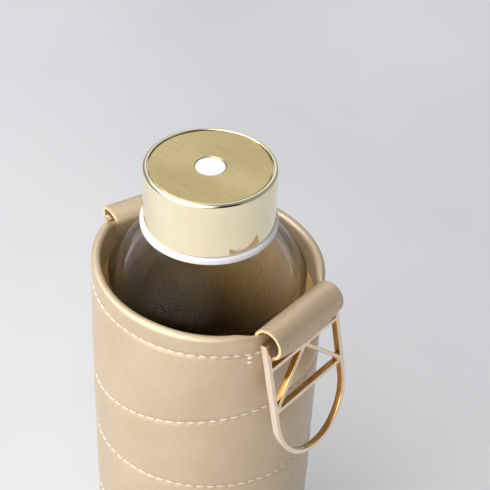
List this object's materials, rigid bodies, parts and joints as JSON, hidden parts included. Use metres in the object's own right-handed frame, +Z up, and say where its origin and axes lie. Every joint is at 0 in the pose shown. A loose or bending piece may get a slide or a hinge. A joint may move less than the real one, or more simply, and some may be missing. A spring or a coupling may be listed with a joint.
{
  "type": "glass water bottle",
  "caption": "Round glass water bottle with a gold screw cap, standing in a quilted leather sleeve with a swinging metal lattice handle on each side.",
  "frame": {"origin": "middle of the underside, on the surface that the bottle stands on", "axes": "+Z up along the bottle's axis; the front handle hangs on the +X side, and the back handle 162 degrees round from it, counterclockwise seen from above"},
  "size_m": [0.1178, 0.09, 0.242],
  "materials": {
    "champagne_leather": "fine grain with a soft metallic champagne sheen",
    "cream_thread": "matte twisted thread",
    "foam_padding": "soft foam",
    "dark_lining": "dark brown brushed lining",
    "stiff_board": "plain board",
    "clear_glass": "clear polished",
    "silicone": "soft translucent white",
    "white_plastic": "smooth satin white",
    "polished_gold": "mirror polished pale gold plating",
    "brushed_gold": "fine brushed olive gold",
    "rose_gold": "polished warm gold plating"
  },
  "bodies": {
    "sleeve": {"back_handle_loop": "champagne_leather", "back_left_bartack": "cream_thread", "back_right_bartack": "cream_thread", "base_cover": "champagne_leather", "base_pad": "dark_lining", "base_stiffener": "stiff_board", "base_stitching": "cream_thread", "front_handle_loop": "champagne_leather", "front_left_bartack": "cream_thread", "front_right_bartack": "cream_thread", "hem_stitching": "cream_thread", "lower_quilt_stitching": "cream_thread", "middle_quilt_stitching": "cream_thread", "shoulder_quilt_stitching": "cream_thread", "sleeve_lining": "dark_lining", "sleeve_outer": "champagne_leather", "sleeve_padding": "foam_padding", "upper_quilt_stitching": "cream_thread"},
    "bottle": {"glass_bottle": "clear_glass"},
    "seal": {"cap_seal": "silicone"},
    "cap": {"cap_shell": "polished_gold", "cap_top_plate": "brushed_gold", "cap_round_inlay": "white_plastic", "cap_liner": "white_plastic"},
    "front_handle": {"front_handle": "rose_gold"},
    "back_handle": {"back_handle": "rose_gold"}
  },
  "joints": [
    {"name": "bottle_lift", "type": "slide", "parent": "sleeve", "child": "bottle", "axis": [0, 0, 1], "range_m": [0, 0.21]},
    {"name": "cap_lift", "type": "slide", "parent": "bottle", "child": "seal", "axis": [0, 0, 1], "range_m": [0, 0.0101]},
    {"name": "cap_twist", "type": "hinge", "parent": "seal", "child": "cap", "pos_m": [0, 0, 0.229], "axis": [0, 0, 1], "range_deg": [0, 720]},
    {"name": "front_handle_swing", "type": "hinge", "parent": "sleeve", "child": "front_handle", "pos_m": [0.045, 0, 0.1942], "axis": [0, -1, 0], "range_deg": [0, 168]},
    {"name": "back_handle_swing", "type": "hinge", "parent": "sleeve", "child": "back_handle", "pos_m": [-0.0428, 0.01391, 0.1942], "axis": [0.309, 0.9511, 0], "range_deg": [0, 168]}
  ],
  "couplings": [
    {"joint": "cap_lift", "follows": "cap_twist", "m_per_rad": 0.00079577}
  ]
}
